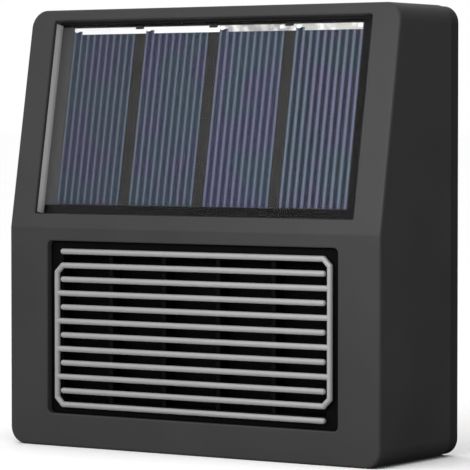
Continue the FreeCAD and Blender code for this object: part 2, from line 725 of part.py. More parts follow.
def impeller(x):
    hub = disc(ROTOR_R[0], x, FAN_Z, ROTOR_Y)
    rim = [e for e in hub.Edges if abs(e.BoundBox.YMin - ROTOR_Y[1]) < 1e-6]
    hub = hub.makeFillet(1.2, rim)
    blade = Part.makeLoft(
        [
            blade_section(ROTOR_R[0] - 0.8, 42, 13.0, x),
            blade_section((ROTOR_R[0] + BLADE_R) / 2, 34, 14.0, x),
            blade_section(BLADE_R - 0.4, 27, 15.0, x),
        ],
        True,
    )
    blades = [turned(blade, 360 / BLADES * k, x, FAN_Z) for k in range(BLADES)]
    wheel = join([hub] + blades)
    wheel = wheel.cut(disc(ROTOR_R[1], x, FAN_Z, (ROTOR_Y[0] - 4, ROTOR_Y[1] - HUB_FACE)))
    boss = disc(3.0, x, FAN_Z, (ROTOR_Y[1] - HUB_FACE - 0.8, ROTOR_Y[1] - HUB_FACE))
    wheel = join([wheel, boss])
    return wheel.cut(disc(SHAFT_R, x, FAN_Z, (ROTOR_Y[0], ROTOR_Y[1] - 0.8)))


def fan_shaft(x):
    shaft = disc(SHAFT_R, x, FAN_Z, (FAN_Y[0] + 1.0, ROTOR_Y[1] - 0.8))
    return shaft.cut(ring(SHAFT_R + 1, CLIP_GROOVE_R, x, FAN_Z, (FAN_Y[0] + 1.3, FAN_Y[0] + 1.7)))


def shaft_clip(x):
    """Open ring that keeps the shaft in its bush."""
    clip = ring(2.6, CLIP_GROOVE_R, x, FAN_Z, (FAN_Y[0] + 1.3, FAN_Y[0] + 1.7))
    return clip.cut(box((x - 0.8, x + 0.8), (FAN_Y[0], FAN_Y[0] + 2), (FAN_Z, FAN_Z + 4)))


def fan_leads(x, side):
    """Two wires from the hub, up one strut, through the shelf's grommet and into a connector."""
    strut_y = FAN_Y[0] + 0.75
    over_z = -1.8
    wires = []
    for pin in (-1, 1):
        start_x = x + pin * 0.75
        rank = (side + 1) + (pin + 1) // 2  # 0 to 3, from the inner wire to the outer one
        run_y = -25.5 - 1.5 * rank if side < 0 else -27.5 - 1.5 * (rank - 1)
        up_x = GROMMET[0] + (rank - 1.5) * 1.5
        run_z = 32.2 + 1.5 * rank
        end_x = CONNECTOR_X[3 if side < 0 else 4] + pin * PIN_HALF
        wires.append(lead([
            (start_x, strut_y, FAN_Z + 10),
            (start_x, strut_y, over_z),
            (start_x, run_y, over_z),
            (up_x, run_y, over_z),
            (up_x, LEAD_Y, over_z),
            (up_x, LEAD_Y, run_z),
            (end_x, LEAD_Y, run_z),
            (end_x, LEAD_Y, CONNECTOR_Z[0]),
        ]))
    return group(wires)


# ---------------------------------------------------------------- electronics

def lead_grommet():
    """Rubber ring in the shelf's hole, with a flange on each side."""
    low = rod(GROMMET_R[0], V(*GROMMET, SHELF_Z[0] - 1.0), V(*GROMMET, SHELF_Z[0]))
    high = rod(GROMMET_R[0], V(*GROMMET, SHELF_Z[1]), V(*GROMMET, SHELF_Z[1] + 1.0))
    neck = rod(GROMMET_R[1], V(*GROMMET, SHELF_Z[0]), V(*GROMMET, SHELF_Z[1]))
    bore = rod(GROMMET_R[2], V(*GROMMET, SHELF_Z[0] - 2), V(*GROMMET, SHELF_Z[1] + 2))
    return join([low, neck, high]).cut(bore)


def battery_cell():
    y, z = BATTERY_YZ
    start = 1 - BATTERY_LONG / 2
    can = rod(BATTERY_R, V(start, y, z), V(start + BATTERY_LONG, y, z))
    can = can.makeFillet(0.8, [e for e in can.Edges if e.BoundBox.XLength < 0.01])
    nub = rod(3.0, V(start + BATTERY_LONG, y, z), V(start + BATTERY_LONG + 1.0, y, z))
    return join([can, nub])


def battery_holder():
    y, z = BATTERY_YZ
    inner = BATTERY_R + 0.4
    outer = inner + HOLDER_WALL
    ends = HOLDER_X + HOLDER_WALL
    tray = box((-ends, ends), (HOLDER_FLOOR_Y, HOLDER_LIP_Y), (z - outer, z + outer))
    room = box((-HOLDER_X, HOLDER_X), (HOLDER_FLOOR_Y + HOLDER_WALL, 0), (z - inner, z + inner))
    tray = tray.cut(room)
    thumb = rod(9.0, V(0, HOLDER_LIP_Y, z - outer - 1), V(0, HOLDER_LIP_Y, z + outer + 1))
    ears = [
        disc(4.0, x, z, (HOLDER_FLOOR_Y, HOLDER_FLOOR_Y + HOLDER_WALL)) for x, z in holder_screw_places()
    ]
    for x, _ in holder_screw_places():
        inner_x = ends - 1 if x > 0 else 1 - ends
        span = (min(x, inner_x), max(x, inner_x))
        ears.append(box(span, (HOLDER_FLOOR_Y, HOLDER_FLOOR_Y + HOLDER_WALL), (z - 4, z + 4)))
    holes = [disc(1.4, x, z, (HOLDER_FLOOR_Y - 1, 0)) for x, z in holder_screw_places()]
    return join([tray.cut(thumb)] + ears).cut(join_tools(holes))


def battery_spring():
    """Conical contact spring at the negative end, drawn pressed against the cell."""
    y, z = BATTERY_YZ
    back = -HOLDER_X
    tip = 1 - BATTERY_LONG / 2
    wire_r = 0.45
    plate = box((back, back + 0.4), (y - 5.5, y + 5.5), (z - 7, z + 7))
    rise = tip - back - 0.4 - 1.6 * wire_r
    path = Part.makeHelix(rise / 2.5, rise, 4.8, -24.0)
    circle = Part.Wire(Part.makeCircle(wire_r, V(4.8, 0, 0), BACKWARD))
    coil = Part.Wire(path).makePipeShell([circle], True, True)
    coil.rotate(V(0, 0, 0), BACKWARD, 90)
    coil.translate(V(back + 0.4 + 0.7 * wire_r, y, z))
    return join([plate, coil])


def battery_contact():
    """Sprung leaf at the positive end."""
    y, z = BATTERY_YZ
    face = BATTERY_LONG / 2 + 2.0
    plate = box((HOLDER_X - 0.4, HOLDER_X), (y - 5, y + 5), (z - 7, z + 7))
    leaf = box((face, face + 0.4), (y - 2.5, y + 2.5), (z - 3, z + 5))
    bridge = box((face, HOLDER_X), (y - 2.5, y + 2.5), (z + 4.6, z + 5.0))
    return join([plate, leaf, bridge])


def battery_leads():
    """One wire from each end of the holder, over its top edge and into the middle connector."""
    wires = []
    start_z = BATTERY_YZ[1] + 4
    for side in (-1, 1):
        x = side * (HOLDER_X + HOLDER_WALL + 1.4)
        end_x = CONNECTOR_X[2] + side * PIN_HALF
        wires.append(lead([
            (x, -20.5, start_z),
            (x, -20.5, 33.4),
            (end_x, -20.5, 33.4),
            (end_x, -20.5, 37.5),
            (end_x, LEAD_Y, 40.0),
            (end_x, LEAD_Y, CONNECTOR_Z[0]),
        ]))
    return group(wires)


def control_board():
    board = box((-BOARD_X, BOARD_X), BOARD_Y, BOARD_Z)
    holes = [disc(1.2, x, z, (BOARD_Y[0] - 1, 0)) for x, z in board_screw_places()]
    return board.cut(join_tools(holes))


def board_connectors():
    """White headers for the switch, the panel, the battery and the two fans."""
    y = (BOARD_Y[0] - 5.0, BOARD_Y[0])
    return group([box((x - 3.6, x + 3.6), y, CONNECTOR_Z) for x in CONNECTOR_X])


def board_chips():
    """Flat packages and the shielded coil of the charging circuit, on the back of the board."""
    y = (BOARD_Y[1], BOARD_Y[1] + 1.4)
    places = [(-14, 46, 3.0, 2.5), (4, 46, 2.5, 2.5), (-14, 60, 2.0, 1.6), (19, 44, 1.6, 1.4)]
    chips = [box((x - a, x + a), y, (z - b, z + b)) for x, z, a, b in places]
    small = (BOARD_Y[1], BOARD_Y[1] + 0.7)
    for k in range(5):
        chips.append(box((-21 + 3.4 * k, -19.4 + 3.4 * k), small, (53, 53.9)))
    base = rounded((2, 12), (54, 64), 1.6, (BOARD_Y[1], BOARD_Y[1] + 4.0))
    chips.append(join([base, disc(3.6, 7, 59, (BOARD_Y[1] + 3, BOARD_Y[1] + 4.4))]))
    return group(chips)


def board_capacitors():
    """Two upright electrolytic cans."""
    cans = []
    for z in (52.0, 61.0):
        can = disc(3.15, 20, z, (BOARD_Y[1], BOARD_Y[1] + 5.8))
        cans.append(can.makeFillet(0.5, [e for e in can.Edges if e.BoundBox.YLength < 0.01]))
    return group(cans)


def electronics_screws():
    seats = [(place, BOARD_Y[1]) for place in board_screw_places()]
    seats += [(place, HOLDER_FLOOR_Y + HOLDER_WALL) for place in holder_screw_places()]
    screws = [screw(x, z, y, 2.3, 1.6, SMALL_SCREW_R, 7) for (x, z), y in seats]
    return group(screws)


# ---------------------------------------------------------------- power button

def switch_body():
    y, z = BUTTON_YZ
    flange = side_disc(BUTTON_FLANGE_R, (FLANGE_X, SEAT_X))
    flange = flange.makeFillet(0.6, [e for e in flange.Edges if abs(e.BoundBox.XMax - FLANGE_X) < 1e-6])
    body = side_disc(BUTTON_BODY_R, (SEAT_X - 0.5, SEAT_X + 14))
    tail = side_disc(BUTTON_BODY_R - 0.8, (SEAT_X + 13, SEAT_X + 18))
    pins = [
        box((SEAT_X + 17, SEAT_X + 22), (y + dy - 0.4, y + dy + 0.4), (z - 1.0, z + 1.0))
        for dy in (-1.5, 1.5)
    ]
    solid = join([flange, body, tail] + pins)
    solid = solid.cut(side_disc(BUTTON_CAP_R + BUTTON_CAP_GAP, (FLANGE_X - 1, CHAMBER_X)))
    solid = solid.cut(side_disc(5.0, (STOP_X, CHAMBER_X)))
    groove = side_disc(7.1, (SEAT_X - 0.8, SEAT_X)).cut(side_disc(6.1, (SEAT_X - 0.8, SEAT_X)))
    return solid.cut(groove)


def switch_oring():
    return Part.makeTorus(6.6, 0.4, V(SEAT_X - 0.4, *BUTTON_YZ), ACROSS)


def switch_nut():
    """Hexagon nut inside the wall."""
    y, z = BUTTON_YZ
    x = SEAT_X + WALL
    radius = 8.6
    angles = [math.radians(60 * k) for k in range(7)]
    corners = [V(x, y + radius * math.cos(a), z + radius * math.sin(a)) for a in angles]
    hexagon = Part.Face(Part.makePolygon(corners)).extrude(V(3.0, 0, 0))
    return hexagon.cut(side_disc(BUTTON_BODY_R, (x - 1, x + 4)))


def button_cap():
    stem = side_disc(BUTTON_CAP_R, (WALL_X, STOP_X + 0.2))
    stem = stem.makeFillet(0.4, [e for e in stem.Edges if abs(e.BoundBox.XMax - WALL_X) < 1e-6])
    collar = side_disc(4.9, (STOP_X + 0.05, STOP_X + 1.6))
    guide = side_disc(2.0, (STOP_X + 1.5, STOP_X + 3.4))
    dish = Part.makeSphere(9.0, V(WALL_X - 8.6, *BUTTON_YZ))
    return join([stem, collar, guide]).cut(dish)


def switch_leads():
    y, z = BUTTON_YZ
    pin_x = SEAT_X + 22
    end_x = CONNECTOR_X[0]
    bottom = CONNECTOR_Z[0]
    near = lead([
        (pin_x, y + 1.5, z), (-42, y + 1.5, z), (-42, LEAD_Y, 38.0),
        (end_x - PIN_HALF, LEAD_Y, 38.0), (end_x - PIN_HALF, LEAD_Y, bottom),
    ])
    far = lead([
        (pin_x, y - 1.5, z), (-45, y - 1.5, z), (-45, y - 1.5, 36.2),
        (end_x + PIN_HALF, y - 1.5, 36.2), (end_x + PIN_HALF, LEAD_Y, 39.6),
        (end_x + PIN_HALF, LEAD_Y, bottom),
    ])
    return group([near, far])


# ---------------------------------------------------------------- nodes

def fan_nodes(name, x, side):
    return {
        f"fan_frame_{name}": fan_frame(x),
        f"shaft_bush_{name}": fan_bush(x),
        f"motor_board_{name}": fan_board(x),
        f"stator_core_{name}": stator_core(x),
        f"stator_coils_{name}": stator_coils(x),
        f"impeller_{name}": impeller(x),
        f"rotor_yoke_{name}": rotor_yoke(x),
        f"magnet_ring_{name}": magnet_ring(x),
        f"fan_shaft_{name}": fan_shaft(x),
        f"shaft_clip_{name}": shaft_clip(x),
        f"fan_leads_{name}": fan_leads(x, side),
    }


def all_nodes():
    right_comb = wire_comb(1, 1)
    left_comb = wire_comb(-1, 2)
    nodes = {
        "front_cover": front_cover(),
        "rear_cover": rear_cover(),
        "case_gasket": case_gasket(),
        "case_screws": case_screws(),
        "wall_seal": rectangle_ring(SEAL_OUT, SEAL_IN, (-SEAL_THICK, 0)),
        "right_wire_comb": right_comb,
        "left_wire_comb": left_comb,
        "guard_frame": guard_frame([right_comb, left_comb]),
        "insect_screen": insect_screen(),
        "fan_plate": fan_plate(),
        "fan_screws": fan_screws(),
        "guard_screws": guard_screws(),
        "panel_glazing": panel_glazing(),
        "panel_edge_strip": panel_edge_strip(),
        "panel_backboard": panel_backboard(),
        "panel_seal": panel_seal(),
        "cell_ribbons": group([cell_ribbon(k) for k in range(CELL_COUNT)]),
        "panel_leads": panel_leads(),
        "lead_grommet": lead_grommet(),
        "battery_cell": battery_cell(),
        "battery_holder": battery_holder(),
        "battery_spring": battery_spring(),
        "battery_contact": battery_contact(),
        "battery_leads": battery_leads(),
        "control_board": control_board(),
        "board_connectors": board_connectors(),
        "board_chips": board_chips(),
        "board_capacitors": board_capacitors(),
        "electronics_screws": electronics_screws(),
        "switch_body": switch_body(),
        "switch_oring": switch_oring(),
        "switch_nut": switch_nut(),
        "switch_leads": switch_leads(),
        "button_cap": button_cap(),
    }
    for k in range(CELL_COUNT):
        nodes[f"solar_cell_{k + 1}"] = solar_cell(k)
    nodes.update(fan_nodes("left", -FAN_X, -1))
    nodes.update(fan_nodes("right", FAN_X, 1))
    return nodes


os.makedirs("parts", exist_ok=True)
for node, shape in all_nodes().items():
    print(node, len(shape.Solids), "solids, valid", shape.isValid())
    shape.exportStep(f"parts/{node}.step")
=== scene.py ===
import math

import bmesh
import bpy
import numpy as np
from mathutils import Matrix, Vector


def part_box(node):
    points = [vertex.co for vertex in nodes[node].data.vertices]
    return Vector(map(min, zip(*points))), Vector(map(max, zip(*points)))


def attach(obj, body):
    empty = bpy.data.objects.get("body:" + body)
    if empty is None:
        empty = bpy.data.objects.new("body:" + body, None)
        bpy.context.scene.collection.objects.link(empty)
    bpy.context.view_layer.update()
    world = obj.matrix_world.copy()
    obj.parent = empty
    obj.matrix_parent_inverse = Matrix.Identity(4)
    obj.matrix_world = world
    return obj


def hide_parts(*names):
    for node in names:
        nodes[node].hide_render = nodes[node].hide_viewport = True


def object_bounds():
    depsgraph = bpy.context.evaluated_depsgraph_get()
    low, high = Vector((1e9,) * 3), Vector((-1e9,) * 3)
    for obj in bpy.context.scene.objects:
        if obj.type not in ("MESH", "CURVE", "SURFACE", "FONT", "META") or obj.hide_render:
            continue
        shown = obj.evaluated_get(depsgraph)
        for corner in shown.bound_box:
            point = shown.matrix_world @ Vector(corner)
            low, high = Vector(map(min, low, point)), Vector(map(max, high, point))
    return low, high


# The looks of a wall-hung solar fan: a moulded box, a solar panel on its sloped upper front, a
# guard of two wire combs on its lower front, and two fans behind the guard. Metres, +Z up.

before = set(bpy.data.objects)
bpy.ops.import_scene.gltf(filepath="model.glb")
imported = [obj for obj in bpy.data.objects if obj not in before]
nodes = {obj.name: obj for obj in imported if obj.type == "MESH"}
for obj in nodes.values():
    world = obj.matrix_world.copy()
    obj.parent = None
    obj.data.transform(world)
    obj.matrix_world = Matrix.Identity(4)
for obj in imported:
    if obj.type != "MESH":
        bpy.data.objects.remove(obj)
cad_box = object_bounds()

MM = 0.001

# Stage
CAMERA_PLACE = (0.5772, -0.8781, 0.0355)
CAMERA_AZIMUTH = 34.0
CAMERA_TILT = 2.09
CAMERA_LENS = 232.5
FLOOR_HALF = 30.0
FLOOR_GAP = 0.02 * MM
SKY_LOBES = (  # direction, cosine where the lobe starts, strength
    ((0.0, 0.0, 1.0), -0.2, 0.694),
    ((-0.8, -0.3, 0.3), -0.2, 0.624),
)
SUN_POWER = 0.824
SUN_ANGLE = 70.0
SUN_TURN = (-8.0, -4.0)
SOFTBOXES = {  # place, point it looks at, side, watts
    "far_box": ((-0.862, -1.277, 0.718), (0, 0, 0), 0.8, 3.914),
    "near_box": ((0.07, -0.20, 0.06), (0.06, -0.04, 0.03), 0.1, 0.171),
}

# Solar panel
CELL_CONTRAST = {  # cell: brightness of its silicon, brightness of its printed fingers
    1: (0.85, 0.9),
    2: (0.85, 1.05),
    3: (0.8, 1.3),
    4: (0.35, 1.6),
}
FINGERS = 10
FINGER_PITCH = 2.8 * MM
FINGER_GLOW = (0.9 * MM, 0.25 * MM)  # half width of a finger's soft print, at its foot and at its top
FINGER_CORE = 0.32 * MM
FINGER_THICK = 0.02 * MM
FINGER_END = 0.7 * MM
SOLDER_INSET = 1.1 * MM
SOLDER_HALF = (1.0 * MM, 0.7 * MM, 0.035 * MM)
SOLDER_UP = 0.12  # height above the ribbons' middle, as a share of their height
# Gap between the cells and the painted shade border on the laminate
SHADE_BORDER_GAP = 0.35 * MM
BEAD = 0.7 * MM
BEAD_LAP = 0.08 * MM

# Screen, foam strip and windings
WARP_PITCH = 1.5 * MM
WARP_RADIUS = 0.03 * MM
WEFT_PITCH = 0.4 * MM
WEFT_RADII = (0.26 * MM, 0.065 * MM)
WEFT_WAVE = 0.08 * MM
SEAL_STEPS = 10
SEAL_EDGE = 0.45 * MM
SEAL_CORNER = 1.6 * MM
SEAL_SAG = (0.05 * MM, 0.04 * MM)  # its average and how far it varies
COIL_TURNS = 8
COIL_STEPS = 14  # points in one turn
COIL_WIRE = 0.135 * MM
COIL_LAYERS = ((1.72 * MM, 2.35 * MM), (2.3 * MM, 2.7 * MM))
COIL_RADIUS = 6.85 * MM

# Control board
PIN_OFFSET = 1.0 * MM
TRACE_THICK = 0.04 * MM
TRACE_HALF = 0.3 * MM
TRACE_TURN = 4 * MM
LEG_PITCH = 1.27 * MM
LEG_HALF = 0.2 * MM
LEG_STEPS = ((0.9 * MM, 0.15 * MM), (0.25 * MM, 0.7 * MM))  # reach and height of the foot and the shin
LEGGED_WIDTH = 3.5 * MM
LEGGED_TALL = 2 * MM
JOINT_RADII = (0.75 * MM, 0.25 * MM)
JOINT_TALL = 0.7 * MM

# Battery's end contact: length and radius
NIB = (1.0 * MM, 4 * MM)


# ---------------------------------------------------------------- node graphs

class Graph:
    """A material with short calls for the nodes that it needs. Lengths are metres of the row frame."""

    def __init__(self, name, colour=(0.5, 0.5, 0.5), rough=0.5, metal=0.0, **sockets):
        self.material = bpy.data.materials.new(name)
        self.material.use_nodes = True
        self.tree = self.material.node_tree
        self.shader = self.tree.nodes["Principled BSDF"]
        self.set("Base Color", (*colour, 1.0))
        self.set("Roughness", rough)
        self.set("Metallic", metal)
        for socket, value in sockets.items():
            self.set(socket.replace("_", " ").title().replace("Ior", "IOR"), value)
        self.place = self.add("ShaderNodeTexCoord").outputs["Object"]

    def set(self, socket, value):
        """Gives a socket of the shader a value, or links it."""
        if isinstance(value, bpy.types.NodeSocket):
            self.tree.links.new(value, self.shader.inputs[socket])
        else:
            self.shader.inputs[socket].default_value = value

    def add(self, kind, inputs=None, **settings):
        """A node with its settings and its inputs, which are values or links."""
        node = self.tree.nodes.new(kind)
        for name, value in settings.items():
            setattr(node, name, value)
        for name, value in (inputs or {}).items():
            if isinstance(value, bpy.types.NodeSocket):
                self.tree.links.new(value, node.inputs[name])
            else:
                node.inputs[name].default_value = value
        return node

    def scaled(self, stretch):
        return self.add("ShaderNodeMapping", {"Vector": self.place, "Scale": stretch}).outputs[0]

    def noise(self, size, detail=2.0, stretch=(1, 1, 1), rough=0.5):
        """Smooth noise whose features are about size across."""
        inputs = {"Vector": self.scaled(stretch), "Scale": 1 / size}
        inputs.update({"Detail": detail, "Roughness": rough})
        return self.add("ShaderNodeTexNoise", inputs).outputs["Fac"]

    def cells(self, size, feature="F1", output="Distance", stretch=(1, 1, 1)):
        inputs = {"Vector": self.scaled(stretch), "Scale": 1 / size}
        return self.add("ShaderNodeTexVoronoi", inputs, feature=feature).outputs[output]

    def axis(self, letter):
        return self.add("ShaderNodeSeparateXYZ", {"Vector": self.place}).outputs[letter]

    def sum(self, operation, a, b=0.0, clamp=False):
        return self.add("ShaderNodeMath", {0: a, 1: b}, operation=operation, use_clamp=clamp).outputs[0]

    def spread(self, value, span, into=(0.0, 1.0), smooth=False):
        """Maps value from span to into, without going past its ends."""
        kind = "SMOOTHSTEP" if smooth else "LINEAR"
        inputs = {"Value": value, "From Min": span[0], "From Max": span[1]}
        inputs.update({"To Min": into[0], "To Max": into[1]})
        return self.add("ShaderNodeMapRange", inputs, interpolation_type=kind).outputs[0]

    def blend(self, share, a, b):
        """Colour a where share is 0 and b where it is 1."""
        node = self.add("ShaderNodeMix", data_type="RGBA")
        for socket, value in ((0, share), (6, a), (7, b)):
            if isinstance(value, bpy.types.NodeSocket):
                self.tree.links.new(value, node.inputs[socket])
            else:
                node.inputs[socket].default_value = (*value, 1.0) if isinstance(value, tuple) else value
        return node.outputs[2]

    def edges(self, radius, strength=3.0):
        """1 on sharp edges, falling to 0 within radius of them."""
        soft = self.add("ShaderNodeBevel", {"Radius": radius}, samples=4).outputs[0]
        normal = self.add("ShaderNodeNewGeometry").outputs["Normal"]
        product = self.add("ShaderNodeVectorMath", {0: soft, 1: normal}, operation="DOT_PRODUCT")
        dot = product.outputs["Value"]
        return self.sum("MULTIPLY", self.sum("SUBTRACT", 1.0, dot), strength, clamp=True)

    def relief(self, height, depth, strength=1.0):
        """Bumps of that depth in metres."""
        inputs = {"Height": height, "Distance": depth, "Strength": strength}
        self.set("Normal", self.add("ShaderNodeBump", inputs).outputs[0])


def shade(colour, factor):
    return tuple(min(1.0, c * factor) for c in colour)


def moulded(name, colour, rough=0.5, grain=0.35 * MM, depth=0.015 * MM, wear=1.35, **sockets):
    """Moulded plastic: fine spark-eroded grain, faint flow patches and edges polished by handling."""
    g = Graph(name, colour, rough, **sockets)
    patches = g.noise(22 * MM, 3.0)
    fine = g.noise(grain, 3.0)
    tone = g.blend(g.spread(patches, (0.3, 0.7)), shade(colour, 0.93), shade(colour, 1.07))
    if wear > 1:
        scuffed = g.sum("MULTIPLY", g.edges(0.5 * MM), g.spread(g.noise(4 * MM, 4.0), (0.35, 0.6)))
        tone = g.blend(scuffed, tone, shade(colour, wear))
    g.set("Base Color", tone)
    g.set("Roughness", g.spread(fine, (0.25, 0.75), (rough + 0.05, rough - 0.05)))
    g.relief(fine, depth)
    return g.material


def brushed(name, colour, rough=0.3, stretch=(1, 1, 1), metal=1.0):
    """Metal with fine streaks along the axis that stretch makes short."""
    g = Graph(name, colour, rough, metal)
    lines = g.noise(0.12 * MM, 4.0, stretch)
    blotch = g.noise(6 * MM, 3.0)
    g.set("Base Color", g.blend(g.spread(lines, (0.3, 0.7)), shade(colour, 0.85), colour))
    g.set("Roughness", g.sum("ADD", g.spread(lines, (0.3, 0.7), (rough - 0.06, rough + 0.06)),
                             g.spread(blotch, (0.3, 0.7), (-0.03, 0.03))))
    g.relief(lines, 0.004 * MM)
    return g.material


def give(material, *names):
    """Sets the only material of CAD nodes."""
    for name in names:
        data = nodes[name].data
        data.materials.clear()
        data.materials.append(material)


# ---------------------------------------------------------------- materials

SLATE = (0.009, 0.024, 0.043)
VIOLET = (0.018, 0.0155, 0.050)


def silicon(index, left, dark, pale):
    """Polycrystalline cell: large crystals of two tints under softly printed fingers."""
    g = Graph(f"silicon_{index}", SLATE, 0.35, 0.0, specular_ior_level=0.18)
    crystals = g.cells(13 * MM, output="Color", stretch=(1.4, 1.0, 0.75))
    tint = g.add("ShaderNodeSeparateColor", {"Color": crystals}).outputs["Red"]
    cloud = g.noise(17 * MM, 2.0)
    mixed = g.spread(g.sum("ADD", g.sum("MULTIPLY", tint, 0.14), cloud), (0.46, 0.68), smooth=True)
    small = g.spread(g.cells(2.2 * MM, output="Distance"), (0.0, 1.0), (0.85, 1.15))
    base = g.blend(mixed, shade(SLATE, dark), shade(VIOLET, dark))
    print_tone = g.blend(mixed, shade((0.050, 0.082, 0.112), pale), shade((0.078, 0.070, 0.138), pale))
    first = left + (solar_width() - (FINGERS - 1) * FINGER_PITCH) / 2
    across = g.sum("SUBTRACT", g.axis("X"), first - FINGER_PITCH / 2)
    cycle = g.sum("FLOORED_MODULO", across, FINGER_PITCH)
    off = g.sum("ABSOLUTE", g.sum("SUBTRACT", cycle, FINGER_PITCH / 2))
    finger = g.spread(off, FINGER_GLOW, smooth=True)
    colour = g.blend(finger, base, print_tone)
    g.set("Base Color", g.blend(g.spread(small, (0.8, 1.2), (0.0, 0.12)), colour, shade(SLATE, 2.2)))
    g.set("Roughness", g.spread(cloud, (0.3, 0.7), (0.3, 0.42)))
    g.relief(g.cells(2.2 * MM), 0.004 * MM)
    return g.material


def glazing_material():
    """Cast resin: clear, with a faint mirror and slight waves in its surface."""
    g = Graph("cast_resin")
    g.tree.nodes.remove(g.shader)
    wave = g.add("ShaderNodeBump", {"Height": g.noise(14 * MM, 2.0), "Distance": 0.05 * MM}).outputs[0]
    clear = g.add("ShaderNodeBsdfTransparent", {"Color": (0.95, 0.95, 0.955, 1)}).outputs[0]
    gloss = g.add("ShaderNodeBsdfGlossy", {"Roughness": 0.09, "Normal": wave}).outputs[0]
    facing = g.add("ShaderNodeLayerWeight", {"Blend": 0.5, "Normal": wave}).outputs["Facing"]
    mirror = g.spread(g.sum("POWER", facing, 5.0), (0.0, 1.0), (0.003, 1.0))
    mixed = g.add("ShaderNodeMixShader", {0: mirror, 1: clear, 2: gloss}).outputs[0]
    g.tree.links.new(mixed, g.tree.nodes["Material Output"].inputs["Surface"])
    return g.material


def laminate_material():
    """Dark laminate behind the cells, with painted shade: black beyond the last cell and above and
    below all, standing in for the shade along the recess's walls. Painted light: paler between the
    first cell and the recess's left wall.
    """
    edge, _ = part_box("solar_cell_1")
    low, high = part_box("solar_cell_4")
    outer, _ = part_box("panel_backboard")
    grey, black = (0.030, 0.029, 0.028), (0.002, 0.002, 0.002)
    g = Graph("panel_laminate", grey, 0.5, specular_ior_level=0.06)
    patches = g.spread(g.noise(8 * MM, 3.0), (0.3, 0.7))
    # Painted light: the margin left of the first cell is paler, most at the recess's left wall, lifting
    # the shade that wall casts.
    painted_light_margin = g.blend(g.spread(g.axis("X"), (outer.x, edge.x)), (0.10, 0.10, 0.10), (0.065, 0.065, 0.065))
    margin = g.sum("LESS_THAN", g.axis("X"), edge.x)
    tone = g.blend(margin, g.blend(patches, shade(grey, 0.85), shade(grey, 1.15)), painted_light_margin)
    # Painted shade: black border right of the last cell and above and below all cells, standing in for
    # the walls' shadow.
    right = g.sum("GREATER_THAN", g.axis("X"), high.x + SHADE_BORDER_GAP)
    above = g.sum("GREATER_THAN", g.axis("Z"), high.z + SHADE_BORDER_GAP)
    below = g.sum("LESS_THAN", g.axis("Z"), low.z - SHADE_BORDER_GAP)
    painted_shade_border = g.sum("MAXIMUM", g.sum("MAXIMUM", right, above), below)
    g.set("Base Color", g.blend(painted_shade_border, tone, black))
    weave = g.noise(0.3 * MM, 2.0)
    g.set("Roughness", g.spread(weave, (0.3, 0.7), (0.42, 0.58)))
    g.relief(weave, 0.01 * MM)
    return g.material


def rubber(name, colour, grain=0.5 * MM, rough=0.8, **sockets):
    """Soft matte rubber with a bloom of dust."""
    g = Graph(name, colour, rough, **sockets)
    dust = g.spread(g.noise(5 * MM, 4.0), (0.45, 0.75))
    g.set("Base Color", g.blend(dust, colour, shade(colour, 1.8)))
    g.set("Roughness", g.spread(g.noise(grain, 2.0), (0.3, 0.7), (rough - 0.08, rough + 0.08)))
    g.relief(g.noise(grain, 3.0), 0.02 * MM)
    return g.material


def foam(name, colour):
    """Closed-cell foam: skin of small round bubbles."""
    g = Graph(name, colour, 0.9, specular_ior_level=0.2)
    bubbles = g.cells(0.45 * MM)
    g.set("Base Color", g.blend(g.spread(bubbles, (0.1, 0.6)), shade(colour, 0.55), shade(colour, 1.3)))
    g.relief(bubbles, 0.12 * MM)
    return g.material


def plated(name, colour, rough=0.3, tint=(1, 1, 1)):
    """Plated metal: cloudy sheen, fine pits and a faint tint."""
    g = Graph(name, colour, rough, 1.0)
    cloud = g.spread(g.noise(1.5 * MM, 3.0), (0.3, 0.7), smooth=True)
    tinted = tuple(c * t for c, t in zip(colour, tint))
    g.set("Base Color", g.blend(cloud, colour, tinted))
    g.set("Roughness", g.spread(cloud, (0.0, 1.0), (rough - 0.07, rough + 0.1)))
    g.relief(g.noise(0.15 * MM, 2.0), 0.003 * MM)
    return g.material


def laminated(name, colour, pitch=0.5 * MM):
    """Stack of steel sheets, seen on its edges as fine lines along Y."""
    g = Graph(name, colour, 0.4, 1.0)
    saw = g.sum("FLOORED_MODULO", g.axis("Y"), pitch)
    line = g.spread(saw, (0.0, 0.12 * pitch))
    face = g.blend(g.noise(2 * MM), colour, shade(colour, 1.2))
    g.set("Base Color", g.blend(line, shade(colour, 0.3), face))
    g.set("Roughness", g.spread(g.noise(0.3 * MM), (0.3, 0.7), (0.35, 0.5)))
    g.relief(line, 0.02 * MM)
    return g.material


def solder_mask(name, colour):
    """Circuit board: glossy mask over a weave of glass cloth."""
    g = Graph(name, colour, 0.3, specular_ior_level=0.5)
    across = g.sum("SINE", g.sum("MULTIPLY", g.axis("X"), 2 * math.pi / (0.7 * MM)))
    up = g.sum("SINE", g.sum("MULTIPLY", g.axis("Z"), 2 * math.pi / (0.7 * MM)))
    weave = g.sum("MULTIPLY", across, up)
    g.set("Base Color", g.blend(g.spread(weave, (-1.0, 1.0)), shade(colour, 0.85), shade(colour, 1.15)))
    g.set("Roughness", g.spread(g.noise(1.2 * MM, 3.0), (0.3, 0.7), (0.25, 0.38)))
    g.relief(weave, 0.004 * MM)
    return g.material


def glossy_sleeve(name, colour):
    """Heat-shrunk sleeve: glossy film with long soft wrinkles."""
    g = Graph(name, colour, 0.25, coat_weight=0.3)
    wrinkle = g.noise(3 * MM, 3.0, (0.15, 1, 1))
    g.set("Base Color", g.blend(g.spread(wrinkle, (0.3, 0.7)), shade(colour, 0.85), shade(colour, 1.1)))
    g.set("Roughness", g.spread(wrinkle, (0.3, 0.7), (0.2, 0.32)))
    g.relief(wrinkle, 0.05 * MM)
    return g.material


